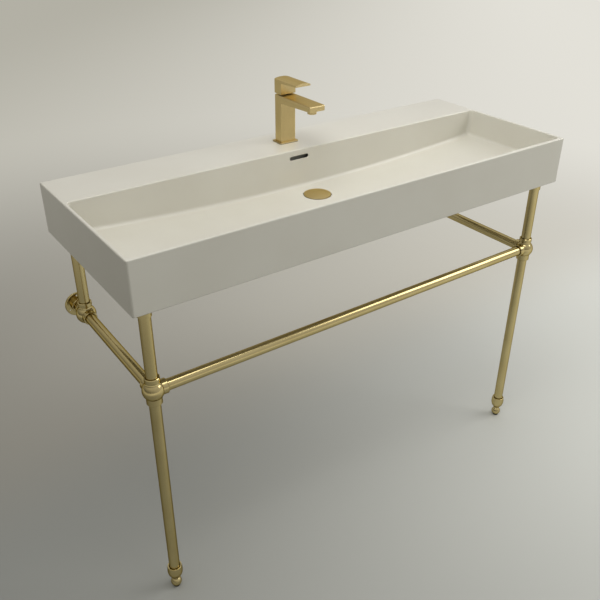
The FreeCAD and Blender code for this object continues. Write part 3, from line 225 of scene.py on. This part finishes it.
SATIN_COLOUR = (0.73, 0.585, 0.30, 1)
SATIN_SHADE_COLOUR = (0.675, 0.538, 0.27, 1)
SATIN_EDGE_TINT = (0.78, 0.66, 0.40, 1)
SATIN_ROUGHNESS = (0.31, 0.04)
SATIN_TONE_SPAN = (0.34, 0.66)
SATIN_LINE_SHARE = 0.8
SATIN_CLOUDS_PER_METRE = 18
SATIN_RELIEF = (0.02, 0.0003)
FINE_LINES_PER_METRE = 900
WIDE_LINES_PER_METRE = 260
LINE_DETAIL_ROUGHNESS = 0.6
LINE_STRETCH = 0.012
BARE_BRASS_COLOUR = (0.58, 0.45, 0.22, 1)
TARNISH_COLOUR = (0.42, 0.32, 0.15, 1)
TARNISH_PER_METRE = 60
TARNISH_SPAN = (0.35, 0.7)
TURNED_ROUGHNESS = (0.34, 0.15)
TOOL_MARKS_PER_METRE = 1200
TOOL_MARK_STRETCH = (0.03, 0.03, 1)
TOOL_MARK_RELIEF = (0.12, 0.0004)
RUBBER_COLOURS = ((0.012, 0.012, 0.012, 1), (0.028, 0.027, 0.026, 1))
RUBBER_GRAINS_PER_METRE = 1500
RUBBER_ROUGHNESS = (0.62, 0.2)
RUBBER_RELIEF = (0.2, 0.0003)
WHITE_PLASTIC_COLOURS = ((0.74, 0.74, 0.72, 1), (0.80, 0.80, 0.785, 1))
WHITE_PLASTIC_ROUGHNESS = (0.38, 0.12)
PLASTIC_CLOUDS_PER_METRE = 90
PLASTIC_RELIEF = (0.05, 0.0006)
WASTE_TUBE_RADIUS = 0.021
WASTE_THREAD_PITCH = 0.00231
WASTE_THREAD_DEPTH = 0.0006
THREAD_STEPS_PER_TURN = 28
RIDGE_ACROSS = np.array([-0.46, -0.12, 0.12, 0.46])
RIDGE_RISE = np.array([-0.15, 1, 1, -0.15])


def brush_lines(flow, stretch):
    """Fine and wide brush marks that run along the axis with the smallest stretch."""
    spot = place_of(flow, stretch)
    fine = noise(flow, spot, FINE_LINES_PER_METRE, roughness=LINE_DETAIL_ROUGHNESS)
    wide = noise(flow, spot, WIDE_LINES_PER_METRE)
    return fine * 0.5 + wide * 0.5


def satin_finish(name, lines_of):
    """Brushed, lacquered brass: the lines tint it, rough it and cut into it a little."""
    material, flow, shader = new_finish(name, Metallic=1.0, Specular_Tint=SATIN_EDGE_TINT)
    lines = lines_of(flow)
    clouds = noise(flow, place_of(flow), SATIN_CLOUDS_PER_METRE, detail=3)
    tone = lines * SATIN_LINE_SHARE + clouds * (1 - SATIN_LINE_SHARE)
    flow.feed(shader["Base Color"], tone.step(*SATIN_TONE_SPAN).blend(SATIN_COLOUR, SATIN_SHADE_COLOUR))
    flow.feed(shader["Roughness"], SATIN_ROUGHNESS[0] + SATIN_ROUGHNESS[1] * lines)
    flow.feed(shader["Normal"], bump(flow, lines, *SATIN_RELIEF))
    return material


def ring_lines(flow):
    """Brush marks in rings about the waste's axis."""
    low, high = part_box("drain_cap")
    right, depth, _ = axes_of(flow, place_of(flow))
    across, along = right - (low[0] + high[0]) / 2, depth - (low[1] + high[1]) / 2
    radius = flow.maths("SQRT", across * across + along * along)
    rings = flow.node("CombineXYZ", None, {0: radius, 1: 0.0, 2: 0.0})
    return noise(flow, rings, FINE_LINES_PER_METRE, roughness=LINE_DETAIL_ROUGHNESS)


def turned_brass():
    """Bare turned brass with a coarse tool mark and patchy tarnish."""
    material, flow, shader = new_finish("turned_brass", Metallic=1.0)
    tarnish = noise(flow, place_of(flow), TARNISH_PER_METRE, detail=4).step(*TARNISH_SPAN)
    marks = noise(flow, place_of(flow, TOOL_MARK_STRETCH), TOOL_MARKS_PER_METRE, detail=1)
    flow.feed(shader["Base Color"], tarnish.blend(BARE_BRASS_COLOUR, TARNISH_COLOUR))
    flow.feed(shader["Roughness"], TURNED_ROUGHNESS[0] + TURNED_ROUGHNESS[1] * tarnish)
    flow.feed(shader["Normal"], bump(flow, marks, *TOOL_MARK_RELIEF))
    return material


def grained(name, colours, per_metre, roughness, relief, stretch=(1, 1, 1), **constants):
    """Finish with one grain, which tints it, roughs it and stands out of it a little."""
    material, flow, shader = new_finish(name, **constants)
    grain = noise(flow, place_of(flow, stretch), per_metre)
    flow.feed(shader["Base Color"], grain.blend(*colours))
    flow.feed(shader["Roughness"], roughness[0] + roughness[1] * grain)
    flow.feed(shader["Normal"], bump(flow, grain, *relief))
    return material


def screw_thread(name, rod, nut, radius, pitch, depth, material):
    """Thread on an upright rod, from its end up to a nut: a blunt ridge on a helix, closed all round.

    At an angle a, the ridge's middle is at height bottom + pitch (1 / 2 + a / 2 pi). Its four
    corners lie at shares of the pitch across it, and at the radius plus shares of the depth.
    The rise fades to nothing over the first and last half turn.
    """
    low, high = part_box(rod)
    bottom, top = low[2] + pitch / 2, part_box(nut)[0][2]
    full = 2 * math.pi
    whole = full * ((top - bottom) / pitch - 1)
    steps = int(whole / full * THREAD_STEPS_PER_TURN)
    turn = np.linspace(0, whole, steps)[:, None]
    fade = np.clip(np.minimum(turn, whole - turn) / math.pi, 0, 1)
    reach = radius + depth * np.where(RIDGE_RISE > 0, RIDGE_RISE * fade, RIDGE_RISE)
    spots = np.stack([
        (low[0] + high[0]) / 2 + reach * np.cos(turn),
        (low[1] + high[1]) / 2 + reach * np.sin(turn),
        bottom + pitch * (0.5 + turn / full + RIDGE_ACROSS),
    ], axis=-1)
    count = RIDGE_RISE.size
    corner = np.arange(count)
    after = (corner + 1) % count
    first = np.arange(steps - 1)[:, None] * count
    following = first + count
    sides = np.stack([first + corner, following + corner, following + after, first + after], axis=-1)
    ends = [corner.tolist(), ((steps - 1) * count + corner[::-1]).tolist()]
    mesh = bpy.data.meshes.new(name)
    mesh.from_pydata(spots.reshape(-1, 3).tolist(), [], sides.reshape(-1, 4).tolist() + ends)
    mesh.materials.append(material)
    thread = bpy.data.objects.new(name, mesh)
    bpy.context.collection.objects.link(thread)
    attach(thread, "sink")


bare_brass = turned_brass()
rubber = grained("black_rubber", RUBBER_COLOURS, RUBBER_GRAINS_PER_METRE, RUBBER_ROUGHNESS,
                 RUBBER_RELIEF, Specular_IOR_Level=0.35)
plastic = grained("white_plastic", WHITE_PLASTIC_COLOURS, PLASTIC_CLOUDS_PER_METRE,
                  WHITE_PLASTIC_ROUGHNESS, PLASTIC_RELIEF, IOR=1.48)
dress(satin_finish("satin_brass_turned", ring_lines), "drain_cap")
dress(bare_brass, "drain_body", "drain_lock_nut", "drain_tailpiece")
dress(rubber, "drain_top_gasket", "drain_lower_gasket", "drain_cap_seal")
dress(plastic, "drain_cartridge", "drain_plunger")
screw_thread("waste_thread", "drain_body", "drain_lock_nut", WASTE_TUBE_RADIUS,
             WASTE_THREAD_PITCH, WASTE_THREAD_DEPTH, bare_brass)


# Tap: column and spout cast in one and brushed along their length, on a thin plate with a
# gasket. A lever block on a square stem closes the top, and a ring under the spout holds
# the aerator's insert. Inside, a plastic cartridge is held down by a brass nut.

COLUMN_FRONT = -0.086
SPOUT_BLEND = 0.002
BLACK_PLASTIC_COLOURS = ((0.006, 0.006, 0.006, 1), (0.012, 0.012, 0.011, 1))
BLACK_PLASTIC_ROUGHNESS = (0.45, 0.12)
STEEL_COLOURS = ((0.50, 0.50, 0.49, 1), (0.60, 0.60, 0.59, 1))
STEEL_LINES_PER_METRE = 900
STEEL_LINE_STRETCH = (1, 1, 6)
STEEL_ROUGHNESS = (0.28, 0.14)
STEEL_RELIEF = (0.08, 0.0003)
STUD_RADIUS = 0.004
STUD_THREAD_PITCH = 0.00125
STUD_THREAD_DEPTH = 0.0003


def lines_up(flow):
    return brush_lines(flow, (1, 1, LINE_STRETCH))


def lines_along_depth(flow):
    return brush_lines(flow, (1, LINE_STRETCH, 1))


def lines_along_width(flow):
    return brush_lines(flow, (LINE_STRETCH, 1, 1))


def column_and_spout_lines(flow):
    """Brush marks up the column, and along the spout in front of it."""
    _, depth, _ = axes_of(flow, place_of(flow))
    on_column = depth.step(COLUMN_FRONT - SPOUT_BLEND, COLUMN_FRONT + SPOUT_BLEND)
    return on_column * lines_up(flow) + (1 - on_column) * lines_along_depth(flow)


dark_plastic = grained("black_plastic", BLACK_PLASTIC_COLOURS, PLASTIC_CLOUDS_PER_METRE,
                       BLACK_PLASTIC_ROUGHNESS, PLASTIC_RELIEF, IOR=1.5)
steel = grained("stainless_steel", STEEL_COLOURS, STEEL_LINES_PER_METRE, STEEL_ROUGHNESS,
                STEEL_RELIEF, STEEL_LINE_STRETCH, Metallic=1.0)
satin_along_depth = satin_finish("satin_brass_along_depth", lines_along_depth)
satin_along_width = satin_finish("satin_brass_along_width", lines_along_width)
dress(satin_finish("satin_brass_tap", column_and_spout_lines), "faucet_body")
dress(satin_along_width, "faucet_base_plate")
dress(satin_along_depth, "lever_handle", "aerator_housing", "lever_plug")
dress(rubber, "faucet_base_gasket", "clamp_gasket")
dress(plastic, "aerator_insert", "cartridge_body")
dress(dark_plastic, "cartridge_turntable")
dress(bare_brass, "cartridge_nut")
dress(steel, "cartridge_pin", "cartridge_stem", "lever_set_screw")
dress(steel, "faucet_stud", "clamp_plate", "stud_nut")
screw_thread("stud_thread", "faucet_stud", "stud_nut", STUD_RADIUS,
             STUD_THREAD_PITCH, STUD_THREAD_DEPTH, steel)


# Stand: drawn brass tubes in cast ball joints, polished and clear lacquered, so they are
# brighter and smoother than the tap. Each tube is held by a small steel grub screw.

LACQUERED_COLOUR = (0.63, 0.525, 0.265, 1)
LACQUERED_SHADE_COLOUR = (0.575, 0.47, 0.225, 1)
# Painted shade: the dark edge tint dims the brass's reflections towards grazing angles, standing in for
# dark surroundings seen at the tubes' sides.
LACQUERED_PAINTED_SHADE_EDGE_TINT = (0.34, 0.27, 0.13, 1)
LACQUERED_ROUGHNESS = (0.14, 0.06)
LACQUERED_TONE_SPAN = (0.35, 0.65)
LACQUERED_CLOUDS_PER_METRE = 14
LACQUERED_RELIEF = (0.02, 0.0003)
DRAWN_LINES_PER_METRE = 500
DRAWN_LINE_SHARE = 0.35
SIDES = ("left", "right")
ENDS = [f"{row}_{side}" for row in ("front", "rear") for side in SIDES]


def lacquered_brass(name, stretch):
    """Polished brass under lacquer, with faint marks along the axis with the smallest stretch, and a
    dark edge tint that paints shade into its grazing reflections.
    """
    material, flow, shader = new_finish(name, Metallic=1.0, Specular_Tint=LACQUERED_PAINTED_SHADE_EDGE_TINT)
    marks = noise(flow, place_of(flow, stretch), DRAWN_LINES_PER_METRE)
    clouds = noise(flow, place_of(flow), LACQUERED_CLOUDS_PER_METRE, detail=3)
    tone = (marks * DRAWN_LINE_SHARE + clouds * (1 - DRAWN_LINE_SHARE)).step(*LACQUERED_TONE_SPAN)
    flow.feed(shader["Base Color"], tone.blend(LACQUERED_COLOUR, LACQUERED_SHADE_COLOUR))
    flow.feed(shader["Roughness"], LACQUERED_ROUGHNESS[0] + LACQUERED_ROUGHNESS[1] * marks)
    flow.feed(shader["Normal"], bump(flow, marks, *LACQUERED_RELIEF))
    return material


brass_upright = lacquered_brass("lacquered_brass_upright", (1, 1, LINE_STRETCH))
brass_along_depth = lacquered_brass("lacquered_brass_along_depth", (1, LINE_STRETCH, 1))
brass_along_width = lacquered_brass("lacquered_brass_along_width", (LINE_STRETCH, 1, 1))
brass_cast = lacquered_brass("lacquered_brass_cast", (1, 1, 1))
dress(brass_along_width, "front_rail")
for side in SIDES:
    dress(brass_along_depth, f"{side}_side_rail", f"{side}_wall_spigot")
    dress(brass_upright, f"{side}_leg")
    dress(brass_cast, f"{side}_wall_flange")
for end in ENDS:
    dress(brass_upright, f"{end}_post")
    dress(brass_cast, f"{end}_joint", f"{end}_post_cap")
dress(rubber, "post_pads")
dress(steel, "fitting_set_screws")


# Feet: a turned cup round each leg's end, and a ball foot on a threaded stud that screws
# in and out of a brass insert to level the stand. A rubber pad keeps the ball off the floor.

for side in SIDES:
    dress(brass_cast, f"{side}_foot_cup", f"{side}_foot")
    dress(bare_brass, f"{side}_leg_insert")
    dress(rubber, f"{side}_foot_pad")


# Studio: a wide floor painted with shade, dark at the left and pale at the right, which far off
# glows with a backdrop colour painted darker behind and to the left. It lies under an even sky that is
# dimmer and warmer at the left. One soft box hangs above, a small one with a grid lights the bowl,
# and a large one stands at the right.

FLOOR_REACH = 40
FLOOR_LEFT_PAINTED_SHADE_COLOUR = (0.275, 0.282, 0.265, 1)
FLOOR_RIGHT_COLOUR = (0.82, 0.84, 0.80, 1)
FLOOR_PAINTED_SHADE_SPAN = (-1.6, 1.8)
BEHIND_LEFT_PAINTED_SHADE_COLOUR = (0.335, 0.325, 0.288, 1)
BEHIND_RIGHT_COLOUR = (0.74, 0.725, 0.655, 1)
BEHIND_SPAN = (-0.15, 0.35)
FAR_BEHIND_PAINTED_SHADE_COLOUR = (0.45, 0.436, 0.376, 1)
FAR_AHEAD_COLOUR = (0.77, 0.752, 0.69, 1)
FAR_PAINTED_SHADE_SPAN = (-6, 3)
FAR_SPAN = (1.0, 3.4)
SKY_LEVEL = 0.36
SKY_RISE = 0.20
SKY_RISE_SPAN = (-0.1, 0.9)
SKY_TO_RIGHT = 0.27
SKY_GREEN = (0.98, 0.01)
SKY_BLUE = (0.94, 0.06)
WARM_WHITE = (1, 0.985, 0.95)
SOFT_BOXES = {
    "overhead_softbox": {
        "spot": (-0.25, -0.65, 1.7), "aim": (0.15, -0.3, 0), "size": (1.5, 1.1),
        "watts": 12.5, "colour": WARM_WHITE,
    },
    "bowl_softbox": {
        "spot": (-0.45, -0.3, 1.1), "aim": (0.6, -0.3, 0), "size": (0.5, 0.4),
        "watts": 0.6, "colour": (1, 0.985, 0.965), "spread": 70,
    },
    "right_softbox": {
        "spot": (2.1, -1.3, 1.5), "aim": (0.4, -0.40, -0.1), "size": (1.5, 1.5),
        "watts": 20, "colour": WARM_WHITE,
    },
}


def studio_floor():
    """Flat square under the lowest point of the object, coloured with painted shade that darkens it to
    the left, and glowing far off.
    """
    level = cad_box[0][2]
    corners = np.array([(-1, -1), (1, -1), (1, 1), (-1, 1)]) * FLOOR_REACH
    spots = np.column_stack([corners, np.full(len(corners), level)])
    mesh = bpy.data.meshes.new("studio_floor")
    mesh.from_pydata(spots.tolist(), [], [(0, 1, 2, 3)])
    ground = bpy.data.objects.new("studio_floor", mesh)
    bpy.context.collection.objects.link(ground)
    material, flow, shader = new_finish("floor_with_painted_shade", Roughness=0.5, Specular_IOR_Level=0.25)
    right, depth, _ = axes_of(flow, place_of(flow))
    # Painted shade: the floor's colour darkens to the left, as if shaded there.
    painted_shade = right.step(*FLOOR_PAINTED_SHADE_SPAN)
    ahead = painted_shade.blend(FLOOR_LEFT_PAINTED_SHADE_COLOUR, FLOOR_RIGHT_COLOUR)
    behind = painted_shade.blend(BEHIND_LEFT_PAINTED_SHADE_COLOUR, BEHIND_RIGHT_COLOUR)
    flow.feed(shader["Base Color"], depth.step(*BEHIND_SPAN).blend(ahead, behind))
    distance = flow.maths("SQRT", right * right + depth * depth)
    seen, gloss = flow.node("LightPath").outputs("Is Camera Ray", "Is Glossy Ray")
    # Far off, the floor glows for the camera and in reflections, a backdrop colour with painted shade
    # behind and to the left.
    far = distance.step(*FAR_SPAN) * flow.maths("MAXIMUM", seen, gloss)
    pale = (right - depth).step(*FAR_PAINTED_SHADE_SPAN).blend(FAR_BEHIND_PAINTED_SHADE_COLOUR, FAR_AHEAD_COLOUR)
    glow = flow.node("Emission", None, {"Color": pale, "Strength": 1.0})
    near = Flow(flow.tree, material.node_tree.nodes["Principled BSDF"].outputs[0])
    mixed = flow.node("MixShader", None, {0: far, 1: near, 2: glow})
    flow.feed(material.node_tree.nodes["Material Output"].inputs["Surface"], mixed)
    mesh.materials.append(material)


def studio_sky():
    """Even sky, brighter above and to the right. Where the camera sees it, it is pale, with painted
    shade towards the left.
    """
    world = bpy.data.worlds.new("studio_sky")
    world.use_nodes = True
    bpy.context.scene.world = world
    flow = Flow(world.node_tree)
    background = world.node_tree.nodes["Background"]
    seen = flow.node("LightPath").outputs("Is Camera Ray")[0]
    across, _, up = axes_of(flow, flow.node("TexCoord", out=0))
    light = SKY_LEVEL + SKY_RISE * up.step(*SKY_RISE_SPAN) + SKY_TO_RIGHT * across * (1 - up)
    green = light * (SKY_GREEN[0] + SKY_GREEN[1] * across)
    blue = light * (SKY_BLUE[0] + SKY_BLUE[1] * across)
    grey = flow.node("CombineColor", None, {0: light, 1: green, 2: blue})
    pale = across.step(-1, 1).blend(FAR_BEHIND_PAINTED_SHADE_COLOUR, FAR_AHEAD_COLOUR)
    flow.feed(background.inputs["Color"], seen.blend(grey, pale))


def soft_light(name, spot, aim, size, watts, colour, spread=180):
    """Soft box that faces a point, with a grid where its spread is narrow."""
    lamp = bpy.data.lights.new(name, "AREA")
    lamp.shape = "RECTANGLE"
    lamp.size, lamp.size_y = size
    lamp.energy = watts
    lamp.color = colour
    lamp.spread = math.radians(spread)
    stand = bpy.data.objects.new(name, lamp)
    stand.location = spot
    stand.rotation_euler = (Vector(aim) - Vector(spot)).to_track_quat("-Z", "Y").to_euler()
    bpy.context.collection.objects.link(stand)


studio_floor()
studio_sky()
for name, box in SOFT_BOXES.items():
    soft_light(name, **box)


# Camera: the place, turn and lens that the photograph's own lines give.

PHOTO_PIXELS = 600
FOCAL_PIXELS = 734.37
SENSOR_WIDTH = 36
CAMERA_SPOT = (-1.02214, -1.57924, 0.65576)
CAMERA_YAW = math.radians(35.360)
CAMERA_PITCH = math.radians(30.329)
CAMERA_ROLL = math.radians(-0.206)


def photo_camera():
    """Camera turned by yaw to the right, then by pitch down, then rolled about its view."""
    data = bpy.data.cameras.new("photo_camera")
    data.sensor_width = SENSOR_WIDTH
    data.lens = FOCAL_PIXELS * SENSOR_WIDTH / PHOTO_PIXELS
    camera = bpy.data.objects.new("photo_camera", data)
    turn = Matrix.Rotation(-CAMERA_YAW, 4, "Z") @ Matrix.Rotation(math.pi / 2 - CAMERA_PITCH, 4, "X")
    camera.matrix_world = Matrix.Translation(CAMERA_SPOT) @ turn @ Matrix.Rotation(-CAMERA_ROLL, 4, "Z")
    bpy.context.collection.objects.link(camera)
    bpy.context.scene.camera = camera


photo_camera()
bpy.context.scene.view_settings.view_transform = "Standard"
